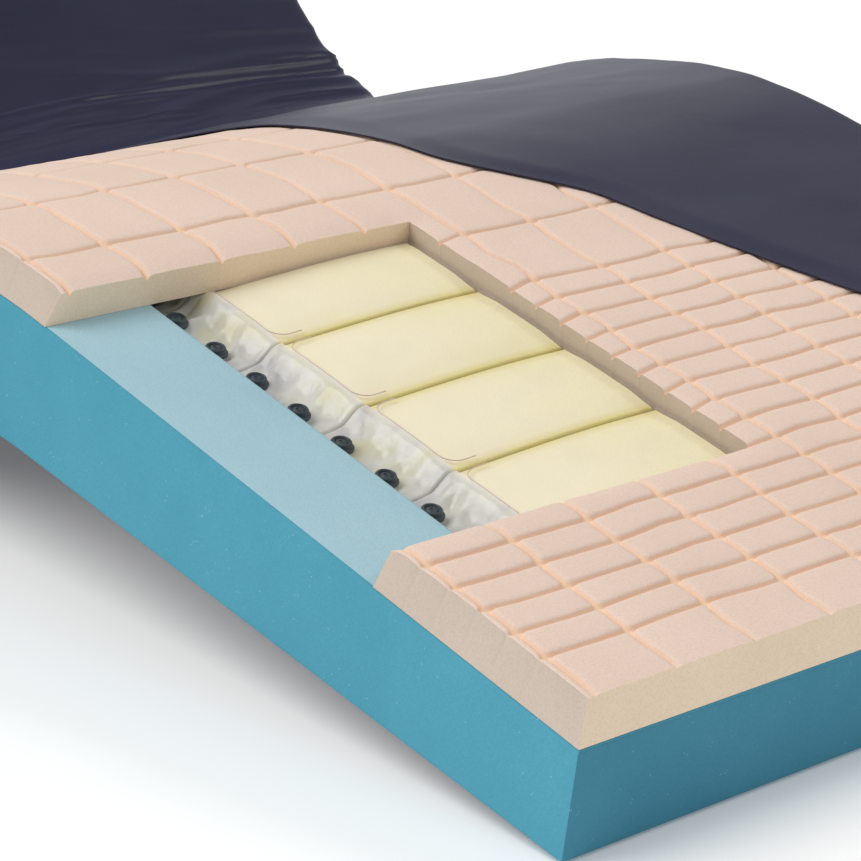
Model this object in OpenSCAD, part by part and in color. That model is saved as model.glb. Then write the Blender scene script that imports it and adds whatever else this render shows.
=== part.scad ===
// Pressure relief mattress for a profiling bed: a blue foam base tray, foam filled air cells
// across it, a castellated foam topper and a navy cover. It is drawn raised at the back and at
// the knees, with the cover cut away and a window in the topper, so that the layers show.
//
// The mattress is laid out along a bent line that starts under the foot end: s is the distance
// along its underside towards the head, n the height above the underside, y the way across.
// +X points to the foot, +Y to the covered side, +Z up. Each fold is a hinge between sections.

/* [Overall] */
// Width of the foam
mattress_w = 880; // [800:10:1000]
// Number of air cells along the mattress
cell_count = 17; // [17:17]
// Spacing of the air cells along the mattress
cell_pitch = 105; // [95:1:115]
// Length of the solid foam border at the head and at the foot
border_len = 97.5; // [80:0.5:110]

/* [Base tray] */
// Height of the base at the sloped heel end
base_h_foot = 84; // [78:1:100]
// Height of the base from the knee to the head
base_h_body = 120; // [100:1:130]
// Depth of the trough that holds the cells
trough_depth = 62; // [50:1:70]
// Width of the side bolsters
bolster_w = 98; // [80:1:120]

/* [Topper] */
// Thickness of the castellated topper
topper_t = 30; // [20:1:40]
// How far the topper stands in from the foam's sides
topper_inset = 6; // [0:1:15]
// Start of the window in the topper, from the foot end
window_start = 210; // [150:30:300]
// End of the window in the topper, from the foot end
window_end = 610; // [480:10:620]
// How far the window reaches in from the near side
window_w = 346; // [200:2:440]

/* [Cells] */
// Thickness of the clear sleeve round each cell
sleeve_t = 0.8; // [0.6:0.1:1.2]
// Length of the lower air space at each end of a cell
lobe_len = 50; // [30:1:60]
// How far the air space lies below the top of the foam
lobe_drop = 12.5; // [9:0.5:16]
// Radius of a valve's flange
valve_r = 10; // [8:0.5:12]
// Height of a valve
valve_h = 7; // [5:0.5:8]

/* [Cover] */
// Thickness of the cover fabric
cover_t = 1.2; // [1:0.1:1.5]
// Height of the zip's centre line above the underside
zip_n = 45; // [40:1:55]
// Width of the zip
zip_w = 14; // [10:1:20]
// Thickness of the zip
zip_t = 1.4; // [1:0.1:2]

/* [Folds] */
// Slope of the lower leg section
calf_slope = 9.9; // [9:0.1:11]
// Bend at the lower knee fold
knee_low_bend = 16.9; // [12:0.1:20]
// Bend at the upper knee fold
knee_high_bend = 21; // [16:0.1:24]
// Bend at the fold between thigh and seat
hip_bend = 28; // [24:0.1:32]
// Bend at each of the two back folds
back_bend = 20; // [10:0.1:25]

/* [Hidden] */
SECTIONS = ["calf", "knee", "thigh", "seat", "lumbar", "back"];
BARE_SIDED = 3; // the first sections have no cover on their near side
SECTION_CELLS = [6, 2, 2, 2, 1, 4]; // cells in each section, from the foot
function two_digits(k) = str(k < 10 ? "0" : "", k);
function names(stem) = [for (name = SECTIONS) str(stem, "_", name)];

FIT = 0.2; // gap between layers of one section
GLUE = 0.05; // glue line between the base and the topper
FOLD_GAP = 0.25; // half the gap between two sections at a fold's pivot
CELL_GAP = 0.5; // half the gap between two cells
FOAM_GAP = 0.3; // gap between a sleeve and the foam in it
VALVE_GAP = 0.9; // gap under a valve, which clears its sleeve in a bend too
PAST = 5; // how far a cutting shape reaches past what it cuts
half_w = mattress_w / 2;
length = 2 * border_len + cell_count * cell_pitch;
trough_w = mattress_w - 2 * bolster_w;

// Folds, from the foot: place, half length of the bend, change of slope towards the head and
// how much further than drawn the fold can close. A negative bend is a hump, a positive one
// a hollow.
function cells_before(i) = i <= 0 ? 0 : SECTION_CELLS[i - 1] + cells_before(i - 1);
FOLD_AT = [for (i = [1:5]) border_len + cell_pitch * cells_before(i)];
FOLD_HALF = [100, 100, 60, 52, 52];
FOLD_BEND = [-knee_low_bend, -knee_high_bend, hip_bend, back_bend, back_bend];
FOLD_MORE = [4.1, 5.1, 6.1, 8.1, 8.1];
FOLD_STEPS = 8;

// Ends of each section along the mattress
SECTION_ENDS = concat([0], FOLD_AT, [length]);

// Slope of the underside at s
function slope(s) = calf_slope + sum([for (i = [0:4])
    FOLD_BEND[i] * limit((s - FOLD_AT[i] + FOLD_HALF[i]) / (2 * FOLD_HALF[i]))]);
function limit(x) = min(max(x, 0), 1);
function ease(x) = limit(x) * limit(x) * (3 - 2 * limit(x));
function sum(v, i = 0) = i < len(v) ? v[i] + sum(v, i + 1) : 0;

// Stations along the underside, close together in the bends, and the line through them
STATIONS = concat([-50, 0], [for (i = [0:4], k = [0:FOLD_STEPS])
    FOLD_AT[i] + FOLD_HALF[i] * (2 * k / FOLD_STEPS - 1)], [length, length + 50]);
function step(i) = let (ds = STATIONS[i + 1] - STATIONS[i],
    a = (slope(STATIONS[i]) + slope(STATIONS[i + 1])) / 2) ds * [-cos(a), sin(a)];
LINE = [for (i = 0, p = [0, 0]; i < len(STATIONS);
    p = p + (i < len(STATIONS) - 1 ? step(i) : [0, 0]), i = i + 1) p];
LINE_X = [for (i = [0:len(STATIONS) - 1]) [STATIONS[i], LINE[i][0]]];
LINE_Z = [for (i = [0:len(STATIONS) - 1]) [STATIONS[i], LINE[i][1]]];

// Point at s along and n up, before the whole is moved onto its origin
function raw(s, n) = [lookup(s, LINE_X) + n * sin(slope(s)), lookup(s, LINE_Z) + n * cos(slope(s))];
skin_n = -FIT - cover_t;
x_foot = raw(-FIT - cover_t, base_h(0))[0];
x_head = raw(length + FIT + cover_t + zip_t, zip_n)[0];
x_low = raw(length + FIT + cover_t, skin_n)[0];
x_shift = -(x_foot + min(x_head, x_low)) / 2;
z_shift = -min(raw(0, skin_n)[1], raw(SECTION_ENDS[3] + FOLD_HALF[2], skin_n)[1]);
function at(s, n) = raw(s, n) + [x_shift, z_shift];

// Height of the base at s, sloping down to the heels
function base_h(s) = base_h_foot + (base_h_body - base_h_foot) * limit(s / FOLD_AT[0]);
function top_h(s) = base_h(s) + topper_t;

// Slope of the base's top at s, which is steeper than its underside towards the heels
function top_slope(s) = slope(s) + (s < FOLD_AT[0] ? atan((base_h_body - base_h_foot) / FOLD_AT[0]) : 0);

// Solid that follows the bent line from s0 to s1 and y0 to y1. Its underside and top are
// heights above the underside, with base_n = 1 where they are counted from the base's top.
module slab(s0, s1, n0, n1, y0, y1, base_n0 = 0, base_n1 = 0) {
    inner = [for (s = STATIONS) if (s > s0 + 0.5 && s < s1 - 0.5) s];
    along = concat([s0], inner, [s1]);
    low = [for (s = along) at(s, n0 + base_n0 * base_h(s))];
    high = [for (i = [len(along) - 1:-1:0]) at(along[i], n1 + base_n1 * base_h(along[i]))];
    translate([0, y1, 0])
        rotate([90, 0, 0])
            linear_extrude(y1 - y0)
                polygon(concat(low, high));
}

// Pivot of fold i: where the straight surfaces on both sides would meet, above a hump and
// below a hollow
function radius(i) = 2 * FOLD_HALF[i] / (abs(FOLD_BEND[i]) * PI / 180);
function pivot_n(i) = FOLD_BEND[i] < 0
    ? (radius(i) + base_h_body + topper_t) / cos(FOLD_BEND[i] / 2) - radius(i)
    : radius(i) - radius(i) / cos(FOLD_BEND[i] / 2);

// Wedge removed at fold i, so that the sections on both sides can fold further
module wedge(i, grow) {
    reach = FOLD_BEND[i] < 0 ? -(pivot_n(i) + 40) : 230;
    near = FOLD_GAP + grow;
    far = near + abs(reach) * tan(FOLD_MORE[i] / 2);
    p = at(FOLD_AT[i], 0);
    translate([p[0], half_w + 20, p[1]])
        rotate([0, slope(FOLD_AT[i]), 0])
            rotate([90, 0, 0])
                linear_extrude(2 * half_w + 40)
                    polygon([[-near, pivot_n(i) - sign(reach) * 12], [near, pivot_n(i) - sign(reach) * 12],
                        [near, pivot_n(i)], [far, pivot_n(i) + reach],
                        [-far, pivot_n(i) + reach], [-near, pivot_n(i)]]);
}

// What belongs to section i of a layer: the layer less the wedges at its folds
module folded(i, grow = 0) {
    difference() {
        children();
        if (i > 0) wedge(i - 1, grow);
        if (i < len(SECTIONS) - 1) wedge(i, grow);
    }
}

function start(i) = SECTION_ENDS[i];
function end(i) = SECTION_ENDS[i + 1];

// Blue foam: floor, side bolsters and end borders round the trough of the cells
module base_tray(i) {
    trough_start = i == 0 ? border_len : start(i) - PAST;
    trough_end = i == len(SECTIONS) - 1 ? length - border_len : end(i) + PAST;
    color("steelblue")
        folded(i)
            difference() {
                slab(start(i), end(i), 0, 0, -half_w, half_w, 0, 1);
                slab(trough_start, trough_end, -trough_depth, PAST, -trough_w / 2, trough_w / 2, 1, 1);
            }
}

// One air cell's outline, drawn in by inset on every side
module cell_block(k, inset) {
    s0 = border_len + (k - 1) * cell_pitch + CELL_GAP + inset;
    s1 = border_len + k * cell_pitch - CELL_GAP - inset;
    w = trough_w / 2 - 1 - inset;
    foot_n = -trough_depth + FIT + inset;
    slab(s0, s1, foot_n, -FIT - inset, -w + lobe_len, w - lobe_len, 1, 1);
    slab(s0, s1, foot_n, -lobe_drop - inset, -w, w, 1, 1);
}

// Yellow foam core of cell k, which lies in section i
module cell_foam(k, i) {
    inset = sleeve_t + FOAM_GAP;
    w = trough_w / 2 - 1 - lobe_len - inset;
    s0 = border_len + (k - 1) * cell_pitch + CELL_GAP + inset;
    s1 = border_len + k * cell_pitch - CELL_GAP - inset;
    color("khaki")
        folded(i, inset)
            slab(s0, s1, -trough_depth + FIT + inset, -FIT - inset, -w, w, 1, 1);
}

// Clear sleeves of the cells of section i
module sleeves(i) {
    for (k = [cells_before(i) + 1:cells_before(i + 1)])
        color("lightgrey", 0.5)
            difference() {
                folded(i) cell_block(k, 0);
                folded(i, sleeve_t) cell_block(k, sleeve_t);
            }
}

// Where a cell's two valves stand, as parts of its length: a little further in beside a hollow
// fold, where the tops of the cells crowd together
function hollow_after(k) = len([for (i = [2:4]) if (cells_before(i + 1) == k) i]) > 0;
function valve_places(k) = [hollow_after(k - 1) ? 0.34 : 0.25, hollow_after(k) ? 0.66 : 0.75];

// Two valves at each end of a cell, standing on its air space
module valves(i) {
    for (k = [cells_before(i) + 1:cells_before(i + 1)], place = valve_places(k), side = [-1, 1])
        valve(border_len + (k - 1 + place) * cell_pitch, side * (trough_w / 2 - valve_r - 2));
}

module valve(s, y) {
    p = at(s, base_h(s) - lobe_drop + VALVE_GAP);
    color("darkslategray")
        translate([p[0], y, p[1]])
            rotate([0, top_slope(s), 0])
                rotate_extrude($fn = 48)
                    polygon([[0, 0], [valve_r, 0], [valve_r, valve_h * 0.35],
                        [valve_r * 0.7, valve_h * 0.45], [valve_r * 0.6, valve_h], [0, valve_h]]);
}

// Topper of section i, with the window in the lower leg section
module topper(i) {
    side = half_w - topper_inset;
    s0 = i == 0 ? topper_inset : start(i);
    s1 = i == len(SECTIONS) - 1 ? length - topper_inset : end(i);
    color("bisque")
        folded(i)
            difference() {
                slab(s0, s1, GLUE, topper_t, -side, side, 1, 1);
                if (i == 0)
                    slab(window_start, window_end, -PAST, topper_t + PAST,
                        -half_w - PAST, window_w - half_w, 1, 1);
            }
}

// Plan of the part of the mattress that the top cover leaves bare, as a sweeping line from the
// far corner of the foot end to the near side of the seat
module bare_plan() {
    x0 = at(0, base_h_body)[0];
    x1 = at(end(2), base_h_body)[0];
    steps = 24;
    sweep = [for (k = [0:steps]) let (t = k / steps)
        [x0 + (x1 - x0) * t, half_w * (0.78 - 0.66 * sin(90 * min(t / 0.75, 1)) -
            0.135 * ease((t - 0.5) / 0.11) - 1.3 * pow(max(t - 0.75, 0) / 0.25, 2))]];
    polygon(concat([[x0 + 100, half_w * 0.95], [x0 + 100, -half_w - 60], [x1, -half_w - 60]],
        [for (k = [steps:-1:0]) sweep[k]]));
}

// Navy top cover of section i: a skin over the topper with skirts down to the zip
module top_cover(i) {
    foot = i == 0;
    head = i == len(SECTIONS) - 1;
    out = FIT + cover_t;
    s0 = foot ? -out : start(i);
    s1 = head ? length + out : end(i);
    in0 = foot ? -FIT : start(i) - PAST;
    in1 = head ? length + FIT : end(i) + PAST;
    color("midnightblue")
        folded(i)
            difference() {
                slab(s0, s1, zip_n + 1, topper_t + out, -half_w - out, half_w + out, 0, 1);
                slab(in0, in1, zip_n - PAST, topper_t + FIT, -half_w - FIT, half_w + FIT, 0, 1);
                if (i < BARE_SIDED)
                    translate([0, 0, -100])
                        linear_extrude(700)
                            bare_plan();
            }
}

// Navy under cover of section i: a skin below the base with low walls up to the zip
module under_cover(i) {
    foot = i == 0;
    head = i == len(SECTIONS) - 1;
    out = FIT + cover_t;
    bare = i < BARE_SIDED;
    s0 = foot ? 0 : start(i);
    s1 = head ? length + out : end(i);
    near = bare ? -half_w : -half_w - out;
    color("midnightblue")
        folded(i)
            difference() {
                slab(s0, s1, -out, zip_n - 1, near, half_w + out);
                slab(foot ? -PAST : start(i) - PAST, head ? length + FIT : end(i) + PAST,
                    -FIT, zip_n + PAST, bare ? near - PAST : -half_w - FIT, half_w + FIT);
            }
}

// Zip of section i, over the join of the two covers
module zip(i) {
    head = i == len(SECTIONS) - 1;
    in = half_w + 2 * FIT + cover_t;
    s0 = i == 0 ? 2 : start(i);
    s1 = head ? length + 2 * FIT + cover_t + zip_t : end(i);
    low = zip_n - zip_w / 2;
    high = zip_n + zip_w / 2;
    color("black")
        folded(i) {
            slab(s0, s1, low, high, in, in + zip_t);
            if (i >= BARE_SIDED)
                slab(s0, s1, low, high, -in - zip_t, -in);
            if (head)
                slab(s1 - zip_t, s1, low, high, -in - zip_t, in + zip_t);
        }
}

// Slider with its pull tab, at the near end of the zip
module zip_slider() {
    at_s = length - 60;
    p = at(at_s, zip_n);
    y = -half_w - 3 * FIT - cover_t - zip_t;
    color("silver")
        translate([p[0], y, p[1]])
            rotate([0, slope(at_s), 0]) {
                translate([-6, -2.2, -4.5]) cube([12, 2.2, 9]);
                translate([-34, -1.8, -2.5]) cube([30, 1.2, 5]);
            }
}

for (i = [0:len(SECTIONS) - 1]) {
    base_tray(i);
    topper(i);
    top_cover(i);
    under_cover(i);
    sleeves(i);
    valves(i);
    zip(i);
    for (k = [cells_before(i) + 1:cells_before(i + 1)])
        cell_foam(k, i);
}
zip_slider();
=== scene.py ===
"""Looks of the pressure relief mattress: foams, air cells, film sleeves, valves, cover and zip.

Every layer follows one bent line under the mattress: s is the distance along it from the foot
end towards the head, n the height above it, y the way across. Layers are cut in the middle of
the sections and blended over the folds. Lengths are in metres and angles in degrees.
"""
import math
import bmesh
import bpy
import numpy as np
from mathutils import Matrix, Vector


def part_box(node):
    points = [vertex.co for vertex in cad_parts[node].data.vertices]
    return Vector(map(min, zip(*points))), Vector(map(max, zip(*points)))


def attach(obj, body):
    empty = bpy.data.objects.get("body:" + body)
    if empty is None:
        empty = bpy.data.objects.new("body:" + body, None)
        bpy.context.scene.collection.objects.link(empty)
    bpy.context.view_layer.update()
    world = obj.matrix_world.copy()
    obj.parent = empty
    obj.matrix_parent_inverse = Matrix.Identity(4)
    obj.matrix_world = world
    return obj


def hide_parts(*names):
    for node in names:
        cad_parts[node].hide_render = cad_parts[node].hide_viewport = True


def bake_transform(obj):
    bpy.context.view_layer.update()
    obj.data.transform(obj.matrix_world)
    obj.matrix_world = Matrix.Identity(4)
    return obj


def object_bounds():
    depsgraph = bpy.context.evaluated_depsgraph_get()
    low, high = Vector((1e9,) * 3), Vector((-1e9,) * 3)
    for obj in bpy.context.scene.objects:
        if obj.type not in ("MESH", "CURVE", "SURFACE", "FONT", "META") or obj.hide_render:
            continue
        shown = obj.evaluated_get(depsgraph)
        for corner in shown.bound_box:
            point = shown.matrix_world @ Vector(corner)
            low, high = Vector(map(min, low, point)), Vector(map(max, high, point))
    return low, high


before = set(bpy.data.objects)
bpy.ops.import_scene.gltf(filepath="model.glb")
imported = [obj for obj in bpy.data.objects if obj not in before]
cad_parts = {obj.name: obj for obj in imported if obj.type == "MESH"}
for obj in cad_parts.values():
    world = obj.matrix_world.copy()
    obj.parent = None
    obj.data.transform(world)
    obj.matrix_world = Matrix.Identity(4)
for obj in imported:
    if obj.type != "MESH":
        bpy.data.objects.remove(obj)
cad_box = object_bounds()

# ---------------------------------------------------------------- driving dimensions
LENGTH = 1.980                  # along the bent line, without the cover
HALF_W = 0.440
BORDER = 0.0975                 # foam across each end of the trough
PITCH = 0.105                   # from one air cell to the next
BASE_FOOT = 0.084               # height of the base at the heels
BASE_BODY = 0.120               # and from the knee on
TROUGH_DEPTH = 0.062
BOLSTER = 0.098                 # width of the foam along each side of the trough
TOPPER = 0.030
WINDOW = (0.210, 0.610)         # where the window in the topper starts and ends along s
WINDOW_FAR = -0.094             # y of its far edge
LOBE = 0.050                    # air space at each end of a cell
LOBE_DROP = 0.0125              # how far its film lies below the top of the base
COVER = 0.0012                  # thickness of the cover's cloth
FOAM_GAP = 0.0002               # between the foam and the cloth on it
OUT = FOAM_GAP + COVER          # how far the outside of the cover stands off the foam
CORNER_R = 0.013                # rounding of the top cover
UNDER_R = 0.0030                # rounding of the under cover
ZIP_N = 0.045                   # height of the zip
SKIRT_N = ZIP_N + 0.001         # lower edge of the top cover
WALL_N = ZIP_N - 0.001          # upper edge of the under cover

CALF_SLOPE = 9.9                # of the underside at the heels
FOLD_AT = (0.7275, 0.9375, 1.1475, 1.3575, 1.4625)
FOLD_HALF = (0.100, 0.100, 0.060, 0.052, 0.052)
FOLD_BEND = (-16.9, -21.0, 28.0, 20.0, 20.0)
SECTIONS = ("calf", "knee", "thigh", "seat", "lumbar", "back")
SECTION_CELLS = (6, 2, 2, 2, 1, 4)
BARE_END = FOLD_AT[2]           # the cover is cut away from the near side up to here
HEAD_FOLD = len(FOLD_AT) - 1    # the last piece of each layer crosses this fold
FIRST_WALLED = 3                # the under cover has a near wall from this piece on

# Layers are cut in the middle of each section, so a piece crosses one fold
CUTS = [0.0, (FOLD_AT[0] + FOLD_AT[1]) / 2, (FOLD_AT[1] + FOLD_AT[2]) / 2,
        (FOLD_AT[2] + FOLD_AT[3]) / 2, (FOLD_AT[3] + FOLD_AT[4]) / 2, LENGTH]

# Castellations: grooves between narrow rows at the heels and wide rows from the knee on
ROWS = [0.060 + 0.030 * i for i in range(14)] + [0.480 + 0.090 * i for i in range(17)]
COLUMNS = [-HALF_W + 0.020 + 0.070 * i for i in range(13)]

EDGE_ANGLES = (22, 45, 67, 90)  # where a rounded edge has its points


# ---------------------------------------------------------------- the bent line
def slope(s):
    """Slope of the underside at s, in radians."""
    total = np.full(np.shape(s), CALF_SLOPE, float)
    for place, half, bend in zip(FOLD_AT, FOLD_HALF, FOLD_BEND):
        total = total + bend * np.clip((s - place + half) / (2 * half), 0, 1)
    return np.radians(total)


LINE_S = np.linspace(-0.05, LENGTH + 0.05, 4161)
_middle = slope((LINE_S[1:] + LINE_S[:-1]) / 2)
_step = LINE_S[1] - LINE_S[0]
LINE_X = np.concatenate([[0], np.cumsum(-np.cos(_middle) * _step)])
LINE_Z = np.concatenate([[0], np.cumsum(np.sin(_middle) * _step)])
_tray_low, _tray_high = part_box("base_tray_calf")
LINE_X += _tray_high[0] - BASE_FOOT * math.sin(slope(0.0)) - np.interp(0, LINE_S, LINE_X)
LINE_Z += _tray_low[2] - np.interp(0, LINE_S, LINE_Z)


def at(s, n, y):
    """Points of the frame at s along, n up and y across, as an array of rows."""
    s, n, y = np.broadcast_arrays(np.asarray(s, float), n, y)
    angle = slope(s)
    x = np.interp(s, LINE_S, LINE_X) + n * np.sin(angle)
    z = np.interp(s, LINE_S, LINE_Z) + n * np.cos(angle)
    return np.stack([x, y, z], -1)


def base_h(s):
    """Height of the base, which falls towards the heels."""
    return BASE_FOOT + (BASE_BODY - BASE_FOOT) * np.clip(np.asarray(s) / FOLD_AT[0], 0, 1)


def cover_h(s):
    """Height of the outside of the cover's top."""
    return base_h(s) + TOPPER + OUT


def smooth(x):
    """Even step from 0 to 1."""
    x = np.clip(x, 0, 1)
    return x * x * (3 - 2 * x)


# ---------------------------------------------------------------- seeded noise
_rng = np.random.default_rng(871)
_lattice = _rng.random((256, 256)) * 2 - 1


def noise(u, v):
    """Smooth value noise in two dimensions, from -1 to 1."""
    u, v = np.broadcast_arrays(np.asarray(u, float), v)
    i, j = np.floor(u).astype(int), np.floor(v).astype(int)
    a, b = smooth(u - i), smooth(v - j)
    i, j = i % 256, j % 256
    k, m = (i + 1) % 256, (j + 1) % 256
    low = _lattice[i, j] * (1 - a) + _lattice[k, j] * a
    high = _lattice[i, m] * (1 - a) + _lattice[k, m] * a
    return low * (1 - b) + high * b


def layered(u, v, octaves=3):
    """Noise at several scales, each half as strong as the one before."""
    return sum(noise(u * 2 ** k + 17 * k, v * 2 ** k + 31 * k) / 2 ** k for k in range(octaves))


# ---------------------------------------------------------------- mesh building
def make_object(name, points, faces, slots=(), index=None, sharp=40):
    """Smooth shaded object, with its edges sharp from an angle on."""
    mesh = bpy.data.meshes.new(name)
    mesh.from_pydata([tuple(p) for p in points], [], faces)
    for material in slots:
        mesh.materials.append(material)
    if index is not None:
        mesh.polygons.foreach_set("material_index", np.asarray(index, np.int32))
    mesh.validate()
    mesh.shade_smooth()
    mesh.set_sharp_from_angle(angle=math.radians(sharp))
    obj = bpy.data.objects.new(name, mesh)
    bpy.context.scene.collection.objects.link(obj)
    return obj


def block(top, low, keep=None):
    """Closed solid between two grids of points. keep says which grid cells are there.

    Returns the points, the faces, the kind of each face (0 top, 1 underside, 2 wall) and which
    of the grids' points are used.
    """
    nu, nv = top.shape[:2]
    keep = np.ones((nu - 1, nv - 1), bool) if keep is None else keep
    points = np.concatenate([top.reshape(-1, 3), low.reshape(-1, 3)])
    t = np.arange(nu * nv).reshape(nu, nv)
    b = t + nu * nv
    faces, kinds = [], []
    for i, j in zip(*np.nonzero(keep)):
        faces.append((t[i, j], t[i, j + 1], t[i + 1, j + 1], t[i + 1, j]))
        faces.append((b[i, j], b[i + 1, j], b[i + 1, j + 1], b[i, j + 1]))
        kinds += [0, 1]
        corners = ((i, j), (i, j + 1), (i + 1, j + 1), (i + 1, j))
        beside = ((i - 1, j), (i, j + 1), (i + 1, j), (i, j - 1))
        for p, q, nearby in zip(corners, corners[1:] + corners[:1], beside):
            inside = 0 <= nearby[0] < nu - 1 and 0 <= nearby[1] < nv - 1
            if not (inside and keep[nearby]):
                faces.append((t[p], b[p], b[q], t[q]))
                kinds.append(2)
    used = np.unique([k for face in faces for k in face])
    new = np.full(len(points), -1)
    new[used] = np.arange(len(used))
    return points[used], [tuple(int(new[k]) for k in face) for face in faces], kinds, used


def face_normals(points, faces):
    """Unit normals of four-sided faces."""
    quads = points[np.array(faces)]
    normal = np.cross(quads[:, 2] - quads[:, 0], quads[:, 3] - quads[:, 1])
    return normal / (np.linalg.norm(normal, axis=1, keepdims=True) + 1e-12)


def sheet_shell(grid, thick):
    """Thin closed sheet: the grid of points and a copy of it, thick further in."""
    du = np.gradient(grid, axis=0)
    dv = np.gradient(grid, axis=1)
    normal = np.cross(dv, du)
    normal /= np.linalg.norm(normal, axis=2, keepdims=True) + 1e-12
    return block(grid, grid - normal * thick)


def clean_mesh(piece, clean):
    """Let clean change the mesh of a piece."""
    mesh = bmesh.new()
    mesh.from_mesh(piece.data)
    clean(mesh)
    mesh.to_mesh(piece.data)
    mesh.free()


def merge_close(mesh):
    """Merge the points that fall together where a skirt turns an end."""
    bmesh.ops.remove_doubles(mesh, verts=mesh.verts, dist=0.00005)
    bmesh.ops.dissolve_degenerate(mesh, dist=0.00003, edges=mesh.edges)


def face_out(mesh):
    """Turn every face of closed parts outwards."""
    bmesh.ops.recalc_face_normals(mesh, faces=mesh.faces)


def add_attribute(obj, name, values):
    attribute = obj.data.attributes.new(name, "FLOAT", "POINT")
    attribute.data.foreach_set("value", np.asarray(values, np.float32))


# ---------------------------------------------------------------- materials
class Nodes:
    """Shorthand for building one material's nodes."""

    def __init__(self, name, **values):
        self.material = bpy.data.materials.new(name)
        self.material.use_nodes = True
        self.tree = self.material.node_tree
        self.shader = self.tree.nodes["Principled BSDF"]
        for key, value in values.items():
            self.shader.inputs[key.replace("_", " ")].default_value = value

    def add(self, kind, links=(), **values):
        node = self.tree.nodes.new(kind)
        for key, value in values.items():
            if key in node.inputs:
                node.inputs[key].default_value = value
            elif key.replace("_", " ") in node.inputs:
                node.inputs[key.replace("_", " ")].default_value = value
            else:
                setattr(node, key, value)
        for key, source in dict(links).items():
            self.tree.links.new(source, node.inputs[key])
        return node

    def place(self):
        return self.add("ShaderNodeTexCoord").outputs["Object"]

    def noise(self, scale, detail=3.0, roughness=0.55, where=None):
        where = where or self.place()
        return self.add("ShaderNodeTexNoise", {"Vector": where}, Scale=scale, Detail=detail,
                        Roughness=roughness).outputs["Fac"]

    def ramp(self, source, *stops):
        node = self.add("ShaderNodeValToRGB", {"Fac": source})
        ramp = node.color_ramp
        while len(ramp.elements) < len(stops):
            ramp.elements.new(0.5)
        for element, (place, colour) in zip(ramp.elements, stops):
            element.position = place
            element.color = (*colour, 1)
        return node.outputs["Color"]

    def mix(self, factor, a, b, blend="MIX"):
        node = self.add("ShaderNodeMix", data_type="RGBA", blend_type=blend)
        for socket, value in ((node.inputs[0], factor), (node.inputs[6], a), (node.inputs[7], b)):
            if hasattr(value, "links"):
                self.tree.links.new(value, socket)
            elif isinstance(value, (int, float)):
                socket.default_value = value
            else:
                socket.default_value = (*value, 1)
        return node.outputs[2]

    def colour(self, source):
        self.tree.links.new(source, self.shader.inputs["Base Color"])

    def bump(self, *layers):
        """Each layer is a height, the strength and the distance in metres."""
        normal = None
        for height, strength, distance in layers:
            links = {"Height": height}
            if normal is not None:
                links["Normal"] = normal
            normal = self.add("ShaderNodeBump", links, Strength=strength,
                              Distance=distance).outputs["Normal"]
        self.tree.links.new(normal, self.shader.inputs["Normal"])


def foam(name, dark, light, speck, speck_share):
    """Open cell foam: a blotchy colour, a few pale specks and a fine pored surface."""
    n = Nodes(name, Roughness=0.95, Specular_IOR_Level=0.12)
    place = n.place()
    body = n.ramp(n.noise(7, 5, where=place), (0.28, dark), (0.74, light))
    cells = n.add("ShaderNodeTexVoronoi", {"Vector": place}, Scale=260.0)
    specks = n.ramp(cells.outputs["Distance"], (0.10, (1, 1, 1)), (0.19, (0, 0, 0)))
    rare = n.ramp(n.noise(95, 2, where=place), (1 - speck_share, (0, 0, 0)),
                  (1 - speck_share + 0.06, (0.75, 0.75, 0.75)))
    dots = n.mix(1.0, specks, rare, "MULTIPLY")
    pores = n.add("ShaderNodeTexVoronoi", {"Vector": place}, Scale=520.0, feature="F1")
    grain = n.ramp(pores.outputs["Distance"], (0.05, (0.93, 0.93, 0.93)),
                   (0.6, (1.02, 1.02, 1.02)))
    n.colour(n.mix(dots, n.mix(1.0, body, grain, "MULTIPLY"), speck))
    n.bump((pores.outputs["Distance"], 0.35, 0.0004), (n.noise(40, 5, where=place), 0.20, 0.0010))
    return n


NAVY_DARK = (0.0115, 0.0125, 0.0400)
NAVY_LIGHT = (0.0180, 0.0190, 0.0560)
# Warmer foam tone for the grooves, kept as light as the tops: painted light against their shade.
GROOVE_WARM_AND_LIT = (0.900, 0.640, 0.455)
SEAM_COLOUR = (0.74, 0.62, 0.17)
NEAR_END_COLOUR = (0.93, 0.85, 0.64)

base_foam = foam("base_foam_blue", (0.076, 0.315, 0.430), (0.098, 0.365, 0.480),
                 (0.30, 0.55, 0.62), 0.42).material
# Paler copy of the blue foam for the bolsters' tops: painted light from above.
lit_bolster_foam = foam("base_foam_top_painted_light", (0.370, 0.570, 0.650), (0.420, 0.620, 0.690),
                    (0.55, 0.72, 0.78), 0.36).material
# Darker copy of the blue foam for the heel end face: painted shade.
painted_shade_foam = foam("base_foam_end_painted_shade", (0.060, 0.235, 0.335), (0.078, 0.275, 0.380),
                  (0.22, 0.45, 0.52), 0.42).material
side_foam = foam("topper_foam_side", (0.560, 0.465, 0.390), (0.625, 0.525, 0.445),
                 (0.72, 0.64, 0.56), 0.36).material
# Lighter copy of the topper's cut foam for faces towards the heels and the window's head wall:
# painted light where they stand in shade.
painted_light_end_foam = foam("topper_foam_end_painted_light", (0.860, 0.690, 0.510), (0.920, 0.750, 0.565),
                (0.82, 0.75, 0.62), 0.36).material


def topper_material():
    """Moulded skin of the topper, warmer and deeper in the grooves, where its tone is also kept
    light as painted light against their shade.
    """
    n = foam("topper_foam_top", (0.800, 0.620, 0.520), (0.850, 0.665, 0.565),
             (0.84, 0.70, 0.62), 0.34)
    flat = n.shader.inputs["Base Color"].links[0].from_socket
    depth = n.add("ShaderNodeAttribute", attribute_name="groove").outputs["Fac"]
    n.colour(n.mix(depth, flat, GROOVE_WARM_AND_LIT))
    return n.material


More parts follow.
